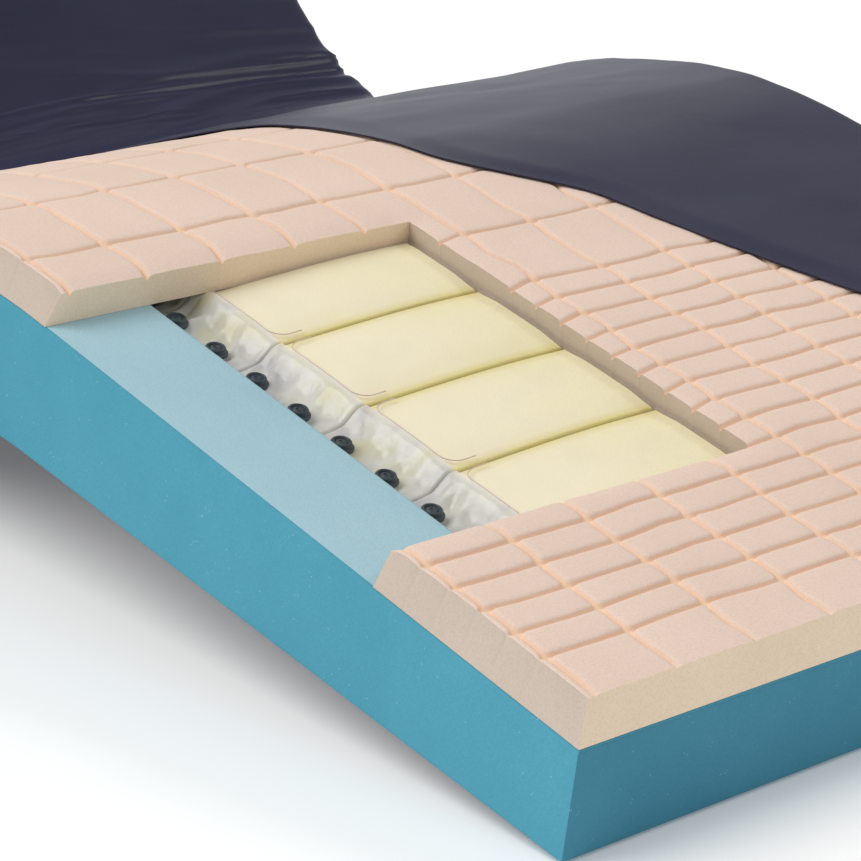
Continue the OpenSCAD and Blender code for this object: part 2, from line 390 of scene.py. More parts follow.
def yellow_material():
    """Soft yellow foam, paler towards the near end of a cell and deeper at its seams."""
    n = foam("cell_foam_yellow", (0.860, 0.780, 0.440), (0.910, 0.840, 0.560),
             (0.87, 0.83, 0.62), 0.30)
    flat = n.shader.inputs["Base Color"].links[0].from_socket
    seam = n.add("ShaderNodeAttribute", attribute_name="seam").outputs["Fac"]
    pale = n.add("ShaderNodeAttribute", attribute_name="pale").outputs["Fac"]
    n.colour(n.mix(seam, n.mix(pale, flat, NEAR_END_COLOUR), SEAM_COLOUR))
    return n.material


def cover_material():
    """Coated stretch fabric: a fine knit under a satin coating."""
    n = Nodes("cover_navy", Roughness=0.38, Specular_IOR_Level=0.38, Sheen_Weight=0.06,
              Sheen_Roughness=0.35)
    n.shader.inputs["Sheen Tint"].default_value = (0.6, 0.62, 0.8, 1)
    place = n.place()
    n.colour(n.ramp(n.noise(6, 4, where=place), (0.3, NAVY_DARK), (0.75, NAVY_LIGHT)))
    along = n.add("ShaderNodeTexWave", {"Vector": place}, Scale=520.0, bands_direction="X")
    across = n.add("ShaderNodeTexWave", {"Vector": place}, Scale=520.0, bands_direction="Y")
    knit = n.mix(1.0, along.outputs["Color"], across.outputs["Color"], "MULTIPLY")
    n.bump((n.noise(70, 4, where=place), 0.16, 0.0010), (knit, 0.15, 0.0002))
    return n.material


def film_material(name, alpha, colour, rough):
    """Welded film: clear over the foam, milky and creased over the air space."""
    n = Nodes(name, Roughness=rough, Alpha=alpha, IOR=1.46, Specular_IOR_Level=0.8)
    n.colour(n.ramp(n.noise(28, 3), (0.34, (0.74, 0.73, 0.76)), (0.52, colour),
                    (0.70, (0.90, 0.86, 0.58))))
    n.bump((n.noise(48, 5), 0.5, 0.003))
    return n.material


def plain_material(name, dark, light, scale, **values):
    """Small trim: a faintly mottled colour with a fine grain."""
    n = Nodes(name, **values)
    n.colour(n.ramp(n.noise(scale, 3), (0.3, dark), (0.7, light)))
    n.bump((n.noise(scale * 12, 3), 0.2, 0.0002))
    return n.material


topper_foam = topper_material()
yellow_foam = yellow_material()
cover_navy = cover_material()
film_clear = film_material("film_clear", 0.07, (0.95, 0.95, 0.93), 0.25)
film_milky = film_material("film_milky", 0.60, (0.96, 0.95, 0.90), 0.20)
weld_pink = plain_material("weld_line", (0.62, 0.47, 0.44), (0.72, 0.56, 0.52), 90, Roughness=0.5)
valve_rubber = plain_material("valve_rubber", (0.030, 0.045, 0.055), (0.050, 0.070, 0.082), 60,
                              Roughness=0.48)
zip_cloth = plain_material("zip_cloth", (0.010, 0.011, 0.018), (0.020, 0.021, 0.032), 300,
                           Roughness=0.85)
zip_tooth = plain_material("zip_teeth", (0.012, 0.012, 0.016), (0.022, 0.022, 0.028), 200,
                           Roughness=0.38)
zip_metal = plain_material("zip_slider_metal", (0.50, 0.50, 0.51), (0.62, 0.62, 0.62), 400,
                           Roughness=0.32, Metallic=1.0)


# ---------------------------------------------------------------- layers cut at the sections
def cross_fold(piece, fold):
    """Bake the piece's place into its mesh. The span of the fold between its two sections at the
    foam's mid height is worked out but does not bend the piece.
    """
    mid_n, margin = 0.07, 0.002
    half = min(FOLD_HALF[fold] + 0.02, FOLD_AT[fold] - CUTS[fold] - margin,
               CUTS[fold + 1] - FOLD_AT[fold] - margin)
    start = at(FOLD_AT[fold] - half, mid_n, 0.0)
    end = at(FOLD_AT[fold] + half, mid_n, 0.0)
    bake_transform(piece)


def layer_nodes(stem, fold):
    """CAD nodes of a layer that piece number fold stands for."""
    names = [f"{stem}_{SECTIONS[fold]}"]
    if fold == HEAD_FOLD:
        names.append(f"{stem}_{SECTIONS[-1]}")
    return names


def spread(low, high, step, extra=()):
    """Positions from low to high, at most step apart, with the extra ones among them."""
    fixed = sorted({low, high, *[e for e in extra if low + 1e-4 < e < high - 1e-4]})
    out = []
    for a, b in zip(fixed, fixed[1:]):
        count = max(1, math.ceil((b - a) / step - 1e-6))
        out += [a + (b - a) * k / count for k in range(count)]
    return np.array(out + [high])


def rounding(edge, radius, inward):
    """Places near an edge that make its rounding even."""
    return [edge + inward * radius * (1 - math.cos(math.radians(a))) for a in (0, *EDGE_ANGLES)]


def drop(distance, radius):
    """How far a rounded edge lies below its surface at a distance in from the edge."""
    d = np.clip(distance, 0, radius)
    return radius - np.sqrt(np.maximum(radius ** 2 - (radius - d) ** 2, 0))


# ---------------------------------------------------------------- blue base tray
def base_tray(fold):
    """Base with its trough. The bolsters' tops get a paler copy of the foam as painted light from
    above, and the heel end a darker copy as painted shade.
    """
    low, high = CUTS[fold], CUTS[fold + 1]
    edge_r, lip_r = 0.003, 0.0025
    inner = HALF_W - BOLSTER
    s_extra, ends = [], (BORDER, LENGTH - BORDER)
    for end, inward in ((0.0, 1), (LENGTH, -1)):
        s_extra += rounding(end, edge_r, inward)
    for end in ends:
        s_extra += [end - 0.0004, end + 0.0004, end - 0.004, end + 0.004]
    y_extra = rounding(-HALF_W, edge_r, 1) + rounding(HALF_W, edge_r, -1)
    for side in (-1, 1):
        y_extra += [side * (inner + d) for d in (0.0, 0.0008, 0.003, -0.0008)]
    s = spread(low, high, 0.016, s_extra)
    y = spread(-HALF_W, HALF_W, 0.03, y_extra)
    grid_s, grid_y = np.meshgrid(s, y, indexing="ij")
    in_trough = ((np.abs(grid_y) < inner - 0.0002) & (grid_s > ends[0] + 0.0002)
                 & (grid_s < ends[1] - 0.0002))
    from_edge = np.minimum(HALF_W - np.abs(grid_y), np.minimum(grid_s, LENGTH - grid_s))
    ease = drop(from_edge, edge_r)
    beside = ~in_trough & (grid_s > ends[0]) & (grid_s < ends[1])
    lip = np.where(beside, drop(np.abs(grid_y) - inner, lip_r), 0)
    n_top = base_h(grid_s) - np.where(in_trough, TROUGH_DEPTH, ease + lip)
    top = at(grid_s, n_top, grid_y)
    under = at(grid_s, ease * 1.5, grid_y)
    points, faces, kinds, _ = block(top, under)
    middle = points[np.array(faces)].mean(axis=1)
    normal = face_normals(points, faces)
    # The heel end face gets the darker copy of the foam: painted shade.
    painted_shade_end = (normal[:, 0] > 0.72) & (middle[:, 0] > at(0.05, 0.04, 0.0)[0])
    # The bolsters' tops get the paler copy of the foam: painted light from above.
    lit_bolster_top = ((np.array(kinds) == 0) & (np.abs(middle[:, 1]) > inner)
               & (np.abs(middle[:, 1]) < HALF_W - edge_r) & (middle[:, 0] < at(0.01, 0.08, 0.0)[0]))
    piece = make_object(f"base_foam_{fold + 1}", points, faces,
                        [base_foam, lit_bolster_foam, painted_shade_foam],
                        np.where(painted_shade_end, 2, np.where(lit_bolster_top, 1, 0)), sharp=50)
    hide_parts(*layer_nodes("base_tray", fold))
    cross_fold(piece, fold)


# ---------------------------------------------------------------- castellated topper
# Half a groove's cross-section: distance from its middle and depth there
GROOVE = np.array([0, 0.0009, 0.0017, 0.0026, 0.0040, 0.0062])
GROOVE_DEPTH = np.array([0.0042, 0.0035, 0.0018, 0.0008, 0.0003, 0.0])
CORNER = 0.0058                 # rounding of a block's corners


def from_line(value, lines):
    """Distance to the nearest groove."""
    return np.min(np.abs(value[..., None] - np.array(lines)), axis=-1)


def groove_depth(s, y):
    """Depth of the castellations: each block is a rectangle with rounded corners."""
    ds, dy = from_line(s, ROWS), from_line(y, COLUMNS)
    corner = CORNER - np.hypot(np.maximum(CORNER - ds, 0), np.maximum(CORNER - dy, 0))
    inside = np.where((ds < CORNER) & (dy < CORNER), corner, np.minimum(ds, dy))
    return np.interp(np.maximum(inside, 0), GROOVE, GROOVE_DEPTH)


def around(lines):
    """Places that draw the groove on each line."""
    return [line + side * g for line in lines for g in GROOVE for side in (-1, 1)]


def from_window(s, y):
    """Distance to the window in the topper."""
    out_s = np.maximum(np.maximum(WINDOW[0] - s, s - WINDOW[1]), 0)
    return np.hypot(out_s, np.maximum(y - WINDOW_FAR, 0))


def wander(s, y, rim):
    """Small sideways moves of the blocks' edges, none at the outer edges and the window."""
    held = smooth(np.minimum(rim, from_window(s, y)) / 0.022)
    return 0.0024 * noise(s * 14 + 50, y * 26) * held, 0.0032 * noise(s * 30, y * 12 + 9) * held


def window_sag(s, y):
    """How far the cut edges of the topper sink towards the window."""
    return 0.0034 * (1 - smooth(from_window(s, y) / 0.014)) ** 1.5


def topper(fold):
    """Topper slab with leaning outer faces. The first piece has the window."""
    low, high = CUTS[fold], CUTS[fold + 1]
    side_top, side_low = HALF_W - 0.0135, HALF_W - 0.0015
    end_in, end_low = 0.0115, 0.0015
    near = 0.0004
    s0 = end_in if fold == 0 else low
    s1 = LENGTH - end_in if fold == HEAD_FOLD else high
    window = fold == 0
    edges = list(WINDOW) if window else []
    rows = [v for v in around(ROWS) if not any(abs(v - e) < near for e in edges)]
    columns = [v for v in around(COLUMNS) if abs(v - WINDOW_FAR) > near]
    s = spread(s0, s1, 0.0125, rows + edges)
    y = spread(-side_top, side_top, 0.020, columns + [WINDOW_FAR])
    grid_s, grid_y = np.meshgrid(s, y, indexing="ij")
    depth = groove_depth(grid_s, grid_y)
    rim = np.minimum(side_top - np.abs(grid_y),
                     np.minimum(grid_s - end_in, LENGTH - end_in - grid_s))
    depth = depth * (0.25 + 0.75 * smooth(rim / 0.006))
    row = np.searchsorted(ROWS, grid_s)
    column = np.searchsorted(COLUMNS, grid_y)
    lift = 0.0005 * noise(row * 3.7, column * 5.3) + 0.0005 * layered(grid_s * 60, grid_y * 60)
    n_top = base_h(grid_s) + TOPPER - depth - 0.0012 * np.exp(-np.maximum(rim, 0) / 0.0016)
    n_top = n_top + lift * (depth < 0.001)
    if window:
        n_top = n_top - window_sag(grid_s, grid_y)
    move_s, move_y = wander(grid_s, grid_y, rim)
    top = at(grid_s + move_s, n_top, grid_y + move_y)
    low_s, low_y = grid_s.copy(), grid_y.copy()
    low_y[:, 0], low_y[:, -1] = -side_low, side_low
    if fold == 0:
        low_s[0, :] = end_low
    if fold == HEAD_FOLD:
        low_s[-1, :] = LENGTH - end_low
    keep = None
    if window:
        a, b = (int(np.argmin(np.abs(s - e))) for e in edges)
        c = int(np.argmin(np.abs(y - WINDOW_FAR)))
        keep = np.ones((len(s) - 1, len(y) - 1), bool)
        keep[a:b, :c] = False
        low_s[b, :c + 1] += 0.002
        low_y[a:b + 1, c] += 0.004
    under = at(low_s, base_h(low_s) + 0.0002, low_y)
    points, faces, kinds, used = block(top, under, keep)
    # Faces towards the heels get the lighter copy of the cut foam: painted light.
    painted_light_faces = face_normals(points, faces)[:, 0] > 0.7
    index = np.where(np.array(kinds) == 0, 0, np.where(painted_light_faces, 2, 1))
    piece = make_object(f"topper_foam_{fold + 1}", points, faces,
                        [topper_foam, side_foam, painted_light_end_foam], index, sharp=38)
    # Groove tint: warmer foam, lightened as painted light against the shade in the grooves.
    warm_lit_groove = np.concatenate([smooth(depth.ravel() / 0.0040), np.zeros(depth.size)])
    add_attribute(piece, "groove", warm_lit_groove[used])
    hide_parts(*layer_nodes("topper", fold))
    cross_fold(piece, fold)


# ---------------------------------------------------------------- air cells
def cell_range(k):
    """Where cell k starts and ends along s."""
    return BORDER + (k - 1) * PITCH, BORDER + k * PITCH


def cells_of(body):
    """Numbers of the cells that lie on a section."""
    first = sum(SECTION_CELLS[:SECTIONS.index(body)]) + 1
    return range(first, first + SECTION_CELLS[SECTIONS.index(body)])


def crown(from_long):
    """How much higher a cell is at a distance from its long edges than at them."""
    return 0.0022 * smooth(from_long / 0.030)


SWELL = 0.0120                  # greatest rise of the cells in the window


def bulge(s, y):
    """How far the cells rise in the window, where no topper holds them down."""
    inside_s = np.minimum(s - WINDOW[0], WINDOW[1] - s)
    inside_y = WINDOW_FAR - y
    rise = smooth((0.30 - (WINDOW_FAR - y)) / 0.27)
    return SWELL * rise * smooth(np.minimum(inside_s, inside_y) / 0.0022)


# Extra grid places where the cells rise at the window's edges
SWELL_S = [edge + side * d for edge in WINDOW for side in (-1, 1) for d in (0.0, 0.0011, 0.0024)]
SWELL_Y = [WINDOW_FAR - d for d in (0.0, 0.0011, 0.0024, 0.004)]


def foam_core(k, body):
    """Foam core of one cell, with rounded long edges that meet the next cell at a thin seam."""
    a, b = cell_range(k)
    gap, r = 0.0010, 0.0022
    s0, s1 = a + gap, b - gap
    reach = HALF_W - BOLSTER - LOBE - 0.002
    s = spread(s0, s1, 0.008, rounding(s0, r, 1) + rounding(s1, r, -1) + SWELL_S)
    y = spread(-reach, reach, 0.02, rounding(-reach, r, 1) + rounding(reach, r, -1) + SWELL_Y)
    grid_s, grid_y = np.meshgrid(s, y, indexing="ij")
    from_long = np.minimum(grid_s - s0, s1 - grid_s)
    from_end = reach - np.abs(grid_y)
    n_top = base_h(grid_s) - 0.0040 + crown(from_long) + bulge(grid_s, grid_y)
    n_top = n_top - np.maximum(drop(from_long, r), drop(from_end, r))
    n_low = base_h(grid_s) - TROUGH_DEPTH + 0.0016 + 0.5 * drop(from_long, r)
    points, faces, _, used = block(at(grid_s, n_top, grid_y), at(grid_s, n_low, grid_y))
    piece = make_object(f"cell_core_{k:02d}", points, faces, [yellow_foam], sharp=60)
    seam = (np.exp(-from_long / 0.0026)
            + 0.30 * np.exp(-from_long / 0.020) * (0.5 + 0.5 * noise(grid_s * 30, grid_y * 12)))
    pale = 0.95 * smooth((0.05 - grid_y) / 0.33)
    add_attribute(piece, "seam", np.tile(np.clip(seam, 0, 1).ravel(), 2)[used])
    add_attribute(piece, "pale", np.tile(pale.ravel(), 2)[used])
    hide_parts(f"cell_foam_{k:02d}")
    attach(piece, body)


def sleeve_parts(k):
    """Film bag of one cell: clear over the foam, creased and lower over its air spaces."""
    a, b = cell_range(k)
    s0, s1 = a + 0.0006, b - 0.0006
    w = HALF_W - BOLSTER - 0.0012
    core = w - LOBE
    r = 0.0026
    s = spread(s0, s1, 0.0036, rounding(s0, r, 1) + rounding(s1, r, -1) + SWELL_S)
    y = spread(-w, w, 0.05, [side * v for side in (-1, 1) for v in np.linspace(core - 0.012, w, 24)]
               + SWELL_Y)
    grid_s, grid_y = np.meshgrid(s, y, indexing="ij")
    from_long = np.minimum(grid_s - s0, s1 - grid_s)
    across = (np.abs(grid_y) - core) / (w - core)
    out = smooth((np.abs(grid_y) - core - 0.002) / 0.018)
    u = grid_s * 118 + 13 * k
    pleat = np.abs(np.sin(u + 2.4 * noise(grid_s * 22 + k, grid_y * 30)))
    crease = 0.0046 * (0.6 - pleat) + 0.0018 * layered(grid_s * 120 + 9 * k, grid_y * 60 + 5 * k, 3)
    lobe = -LOBE_DROP - 0.0030 + 0.0042 * smooth(1 - across * 1.3)
    lobe = lobe + crease * smooth(from_long / 0.008)
    hem = -0.004 * smooth((across - 0.84) / 0.16)
    height = (1 - out) * (crown(from_long) - 0.0012) + out * (lobe + hem)
    n_top = base_h(grid_s) + height - drop(from_long, r) + bulge(grid_s, grid_y)
    n_low = base_h(grid_s) - TROUGH_DEPTH + 0.0004 + drop(from_long, r) * 0.4
    points, faces, _, _ = block(at(grid_s, n_top, grid_y), at(grid_s, n_low, grid_y))
    middles = np.array([points[list(face)].mean(axis=0) for face in faces])
    index = np.where(np.abs(middles[:, 1]) > core - 0.001, 1, 0)
    return points, faces, list(index)


def weld_parts(k, side):
    """Weld line with rounded corners, round the end of a cell's foam."""
    a, b = cell_range(k)
    margin, corner, run, r = 0.006, 0.015, 0.010, 0.00042
    core = HALF_W - BOLSTER - LOBE - 0.002
    s0, s1 = a + margin, b - margin
    path = [(s0, core - corner - run)]
    path += [(s0 + corner * (1 - math.cos(t)), core - corner + corner * math.sin(t))
             for t in np.linspace(0, math.pi / 2, 9)]
    path += [(s0 + (s1 - s0) * f, core) for f in (0.3, 0.5, 0.7)]
    path += [(s1 - corner * (1 - math.cos(t)), core - corner + corner * math.sin(t))
             for t in np.linspace(math.pi / 2, 0, 9)]
    path += [(s1, core - corner - run)]
    path = np.array(path)
    ring = 6
    tangent = np.gradient(path, axis=0)
    tangent /= np.linalg.norm(tangent, axis=1, keepdims=True)
    points, faces = [], []
    for (s, y), (ts, ty) in zip(path, tangent):
        middle_n = base_h(s) - 0.0011 + crown(min(s - a, b - s)) + bulge(s, side * y)
        for q in range(ring):
            angle = 2 * math.pi * q / ring
            shift, up = r * math.cos(angle), r * math.sin(angle)
            points.append(at(s - ty * shift, middle_n + up, side * (y + ts * shift)))
    for i in range(len(path) - 1):
        for q in range(ring):
            quad = (i * ring + q, i * ring + (q + 1) % ring,
                    (i + 1) * ring + (q + 1) % ring, (i + 1) * ring + q)
            faces.append(quad if side < 0 else quad[::-1])
    caps = [tuple(range(ring))[::-1], tuple((len(path) - 1) * ring + q for q in range(ring))]
    faces += caps if side < 0 else [cap[::-1] for cap in caps]
    return np.array(points), faces, [2] * len(faces)


def join_parts(parts):
    """One mesh out of parts, each with points, faces and material numbers."""
    points, faces, index = [], [], []
    for part_points, part_faces, part_index in parts:
        shift = sum(len(p) for p in points)
        points.append(np.asarray(part_points))
        faces += [tuple(k + shift for k in face) for face in part_faces]
        index += list(part_index)
    return np.concatenate(points), faces, index


def sleeves(body):
    """Film sleeves of a section's cells, with their weld lines."""
    parts = []
    for k in cells_of(body):
        parts += [sleeve_parts(k), weld_parts(k, -1), weld_parts(k, 1)]
    points, faces, index = join_parts(parts)
    piece = make_object(f"film_sleeves_{body}", points, faces, [film_clear, film_milky, weld_pink],
                        index, sharp=55)
    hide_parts(f"sleeves_{body}")
    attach(piece, body)


def lathe(profile, centre, tilt, around_count=32):
    """Turned piece: radius and height pairs, stood at centre and tilted about the way across."""
    points, faces = [], []
    cos_t, sin_t = math.cos(tilt), math.sin(tilt)
    for radius, height in profile:
        for q in range(around_count):
            angle = 2 * math.pi * q / around_count
            u, v = radius * math.cos(angle), radius * math.sin(angle)
            points.append((centre[0] + u * cos_t + height * sin_t, centre[1] + v,
                           centre[2] - u * sin_t + height * cos_t))
    last = len(profile) - 1
    for i in range(last):
        for q in range(around_count):
            r = (q + 1) % around_count
            faces.append((i * around_count + q, i * around_count + r,
                          (i + 1) * around_count + r, (i + 1) * around_count + q))
    faces.append(tuple(range(around_count))[::-1])
    faces.append(tuple(last * around_count + q for q in range(around_count)))
    return np.array(points), faces, [0] * len(faces)


VALVE_R = 0.010
VALVE_GAP = 0.0009
# Radius and height of the turned valve: flange, ring, dished top and stem
VALVE_PROFILE = [(0.0098, 0.0), (0.0100, 0.0006), (0.0100, 0.0020), (0.0094, 0.0028),
                 (0.0082, 0.0031), (0.0079, 0.0037), (0.0079, 0.0058), (0.0073, 0.0066),
                 (0.0062, 0.0068), (0.0057, 0.0062), (0.0054, 0.0050), (0.0046, 0.0047),
                 (0.0042, 0.0054), (0.0036, 0.0060), (0.0020, 0.0063), (0.0013, 0.0052)]


def valve_places(k):
    """Two places along a cell, further in beside a hollow fold."""
    hollow_after = [sum(SECTION_CELLS[:i]) for i in (3, 4, 5)]
    return (0.34 if k - 1 in hollow_after else 0.25), (0.66 if k in hollow_after else 0.75)


def valves(body):
    """Valves of a section's cells, two at each end of a cell."""
    parts = []
    from_middle = HALF_W - BOLSTER - VALVE_R - 0.002
    taper = math.atan((BASE_BODY - BASE_FOOT) / FOLD_AT[0])
    for k in cells_of(body):
        for place in valve_places(k):
            for side in (-1, 1):
                s = cell_range(k)[0] + place * PITCH
                centre = at(s, base_h(s) - LOBE_DROP + VALVE_GAP, side * from_middle)
                rise = taper if s < FOLD_AT[0] else 0.0
                parts.append(lathe(VALVE_PROFILE, centre, float(slope(s)) + rise))
    points, faces, index = join_parts(parts)
    piece = make_object(f"valve_set_{body}", points, faces, [valve_rubber], index, sharp=35)
    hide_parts(f"valves_{body}")
    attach(piece, body)


# ---------------------------------------------------------------- navy top cover
CUT_START = 0.78                # the cut edge, in shares of half the width: at the heels,
CUT_SWEEP = 0.66                # its sweep towards the middle,
CUT_STEP = 0.135                # a step over the knee
CUT_TURN = 1.3                  # and its turn to the near side


def cut_line(s):
    """How far across the cut edge of the cover runs, sweeping over the knee to the near side."""
    t = np.clip(s / BARE_END, 0, 1.2)
    sweep = np.sin(math.pi / 2 * np.minimum(t / 0.75, 1))
    turn = (np.maximum(t - 0.75, 0) / 0.25) ** 2
    return HALF_W * (CUT_START - CUT_SWEEP * sweep - CUT_STEP * smooth((t - 0.5) / 0.11)
                     - CUT_TURN * turn)


def skirt_length(s):
    """Length of the cover's side, from the zip up to the rounded edge."""
    return cover_h(s) - SKIRT_N - CORNER_R


def across_profile(w, s):
    """Place across, height, turn of the surface and side, w along the cover from the far zip."""
    half = HALF_W + OUT
    skirt = skirt_length(s)
    bend = CORNER_R * math.pi / 2
    flat = 2 * (half - CORNER_R)
    mirrored = w > skirt + bend + flat / 2
    v = np.where(mirrored, 2 * (skirt + bend) + flat - w, w)
    turn = np.clip((v - skirt) / bend, 0, 1) * math.pi / 2
    y = half - CORNER_R * (1 - np.cos(turn)) - np.maximum(v - skirt - bend, 0)
    n = SKIRT_N + np.minimum(v, skirt) + CORNER_R * np.sin(turn)
    y = np.where(mirrored, -y, y)
    return y, n, turn, np.where(mirrored, -1, 1)


def cover_reach(s):
    """Length of the cover across, from the far zip to the cut edge or the near zip."""
    side = skirt_length(s) + CORNER_R * math.pi / 2
    half_flat = HALF_W + OUT - CORNER_R
    return np.clip(side + half_flat - cut_line(s), 0.02, 2 * (side + half_flat))


def ridged(u, v, low):
    """Crests where the noise crosses zero, from 0 to about 1. A higher low makes them narrower."""
    return np.clip(1 - np.abs(layered(u, v, 2)) - low, 0, 1) / (1 - low)


BACK_CREASES_AT = 1.47          # middle of the creases of the back fold along s
BACKREST_FROM = 1.56
KNEE_DIMPLES_AT = 0.93


def wrinkles(s, y):
    """How far the cover stands off the foam: long creases across the back fold, soft dimples
    over the knee and small waves elsewhere."""
    fold = np.exp(-((s - BACK_CREASES_AT) / 0.17) ** 2)
    bent = 1.3 * noise(s * 5, y * 2.6)
    creases = fold * 0.0062 * ridged(s * 13 + bent, y * 1.2 + 4, 0.35) ** 1.3
    bent = 0.8 * noise(s * 9, y * 6)
    creases += fold * 0.0020 * ridged(s * 30 + bent, y * 2.4 + 11, 0.4)
    back = smooth((s - BACKREST_FROM) / 0.12)
    bent = 0.9 * noise(s * 4 + 7, y * 3)
    creases += back * 0.0040 * ridged(s * 9 + bent, y * 0.8 + 3, 0.5)
    creases += back * 0.0010 * (1 + noise(s * 24 + 3, y * 7))
    knee = np.exp(-((s - KNEE_DIMPLES_AT) / 0.20) ** 2)
    dimples = knee * (0.0023 * (1 + noise(s * 24, y * 10)) + 0.0006 * (1 + noise(s * 60, y * 26)))
    waves = 0.0007 * (1.5 + layered(s * 13, y * 9 + 3, 2))
    return creases + dimples + waves


def cover_grid(row_s, row_drop, columns=170):
    """Grid of the cover's outside: a row for each s, row_drop lower where it goes down an end."""
    reach = cover_reach(row_s)[:, None]
    grid_s = np.repeat(row_s[:, None], columns, axis=1)
    grid_w = np.linspace(0, 1, columns)[None, :] * reach
    y, n, turn, side = across_profile(grid_w, grid_s)
    raised = wrinkles(grid_s, y + 0.4 * n) * smooth((n - ZIP_N - 0.012) / 0.030)
    raised = raised * smooth((reach - grid_w) / 0.035)
    turned = np.clip(row_drop[:, None] / CORNER_R, 0, 1)
    n = np.minimum(n, cover_h(grid_s) - row_drop[:, None])
    n = n + raised * np.sin(turn) * (1 - turned)
    y = y + raised * np.cos(turn) * side
    return at(grid_s, n, y)


def end_rows(low, high, step, foot, head, skirt):
    """Stations along, and how far each lies below the top where the cover turns down an end."""
    s = spread(low, high, step)
    angles = np.radians(EDGE_ANGLES)
    down_side = CORNER_R + (skirt - CORNER_R) * np.linspace(0.25, 1, 4)
    inward = np.concatenate([[CORNER_R], CORNER_R * (1 - np.sin(angles)), 0 * down_side])
    fall = np.concatenate([[0], CORNER_R * (1 - np.cos(angles)), down_side])
    if head:
        end = LENGTH + OUT
        level = s[s < end - CORNER_R]
        return (np.concatenate([level, end - inward]),
                np.concatenate([np.zeros(len(level)), fall]))
    if foot:
        level = s[s > CORNER_R - OUT]
        return (np.concatenate([inward[::-1] - OUT, level]),
                np.concatenate([fall[::-1], np.zeros(len(level))]))
    return s, np.zeros(len(s))


def top_cover(fold):
    """Stretched cover, down to the zip on the far side, at the ends and near the backrest."""
    low, high = CUTS[fold], CUTS[fold + 1]
    foot, head = fold == 0, fold == HEAD_FOLD
    skirt = (BASE_BODY if head else BASE_FOOT) + TOPPER + OUT - SKIRT_N
    step = 0.0045 if fold > 2 else 0.007
    row_s, row_drop = end_rows(low, high, step, foot, head, skirt)
    points, faces, _, _ = sheet_shell(cover_grid(row_s, row_drop), COVER)
    piece = make_object(f"cover_top_{fold + 1}", points, faces, [cover_navy], sharp=70)
    clean_mesh(piece, merge_close)
    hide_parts(*layer_nodes("top_cover", fold))
    cross_fold(piece, fold)


# ---------------------------------------------------------------- navy under cover and zip
def under_profile(near_wall):
    """Outline of the under cover across: y and n from the far zip round to the near side."""
    out = HALF_W + OUT
    side = [(out, WALL_N), (out, ZIP_N * 0.6), (out, UNDER_R - OUT)]
    side += [(out - UNDER_R * (1 - math.cos(t)), UNDER_R * (1 - math.sin(t)) - OUT)
             for t in np.radians((30, 60, 90))]
    flat = [(y, -OUT) for y in np.linspace(out - 0.04, -out + 0.04, 24)]
    if near_wall:
        return side + flat + [(-y, n) for y, n in reversed(side)]
    return side + flat + [(-HALF_W + 0.010, -OUT)]


def under_cover(fold):
    """Under cover with low walls up to the zip, open on the near side where the top is bare."""
    low, high = CUTS[fold], CUTS[fold + 1]
    outline = np.array(under_profile(fold >= FIRST_WALLED))
    row_s = spread(low + (0.012 if fold == 0 else 0), high, 0.014)
    lift = np.zeros(len(row_s))
    if fold == HEAD_FOLD:
        end = LENGTH + OUT
        turn = np.radians((0, 30, 60, 90))
        walls = np.array([0.015, 0.030, WALL_N + OUT])
        row_s = np.concatenate([row_s[row_s < end - 0.010], end - UNDER_R * (1 - np.sin(turn)),
                                np.full(len(walls), end)])
        lift = np.concatenate([np.zeros(len(row_s) - len(turn) - len(walls)),
                               UNDER_R * (1 - np.cos(turn)), walls])
    grid_s = np.repeat(row_s[:, None], len(outline), axis=1)
    y = np.repeat(outline[None, :, 0], len(row_s), axis=0)
    n = np.maximum(outline[None, :, 1], lift[:, None] - OUT)
    points, faces, _, _ = sheet_shell(at(grid_s, n, y), COVER)
    piece = make_object(f"cover_under_{fold + 1}", points, faces, [cover_navy], sharp=70)
    clean_mesh(piece, merge_close)
    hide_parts(*layer_nodes("under_cover", fold))
    cross_fold(piece, fold)


ZIP_IN = OUT + 0.0002           # how far the inside and outside of the tape stand off the foam
ZIP_OUT = OUT + 0.0010
TAPE_N = ZIP_N + np.array([-0.0070, -0.0060, -0.0016, 0.0016, 0.0060, 0.0070])
TOOTH_PITCH = 0.0032
TOOTH_LONG = 0.0017
TOOTH_HALF_HIGH = 0.0016
TOOTH_STAGGER = 0.0005


def box_part(corner_low, corner_high):
    """Small box between two corners in (s, n, y)."""
    (s0, n0, y0), (s1, n1, y1) = corner_low, corner_high
    corners = [at(s, n, y) for s in (s0, s1) for n in (n0, n1) for y in (y0, y1)]
    faces = [(0, 1, 3, 2), (4, 6, 7, 5), (0, 4, 5, 1), (2, 3, 7, 6), (0, 2, 6, 4), (1, 5, 7, 3)]
    return np.array(corners), faces, [1] * len(faces)


def zip_teeth(low, high, place):
    """Staggered teeth from low to high. place turns along, height and how far out to (s, n, y)."""
    count = int((high - low) / TOOTH_PITCH)
    parts = []
    for k in range(count):
        start = low + (k + 0.25) * (high - low) / count
        middle = ZIP_N + (TOOTH_STAGGER if k % 2 else -TOOTH_STAGGER)
        parts.append(box_part(place(start, middle - TOOTH_HALF_HIGH, 0.0001),
                              place(start + TOOTH_LONG, middle + TOOTH_HALF_HIGH, 0.0011)))
    return parts


def zip_run(low, high, side):
    """Tape and teeth of the zip along one long side."""
    grid_s, grid_n = np.meshgrid(spread(low, high, 0.012), TAPE_N, indexing="ij")
    swell = np.where(np.abs(grid_n - ZIP_N) < 0.003, 0.0003, 0.0)
    outside = at(grid_s, grid_n, side * (HALF_W + ZIP_OUT + swell))
    inside = at(grid_s, grid_n, side * (HALF_W + ZIP_IN))
    if side > 0:
        outside, inside = outside[:, ::-1], inside[:, ::-1]
    points, faces, _, _ = block(outside, inside)
    teeth = zip_teeth(low, high, lambda s, n, out: (s, n, side * (HALF_W + ZIP_OUT + out)))
    return [(points, faces, [0] * len(faces)), *teeth]


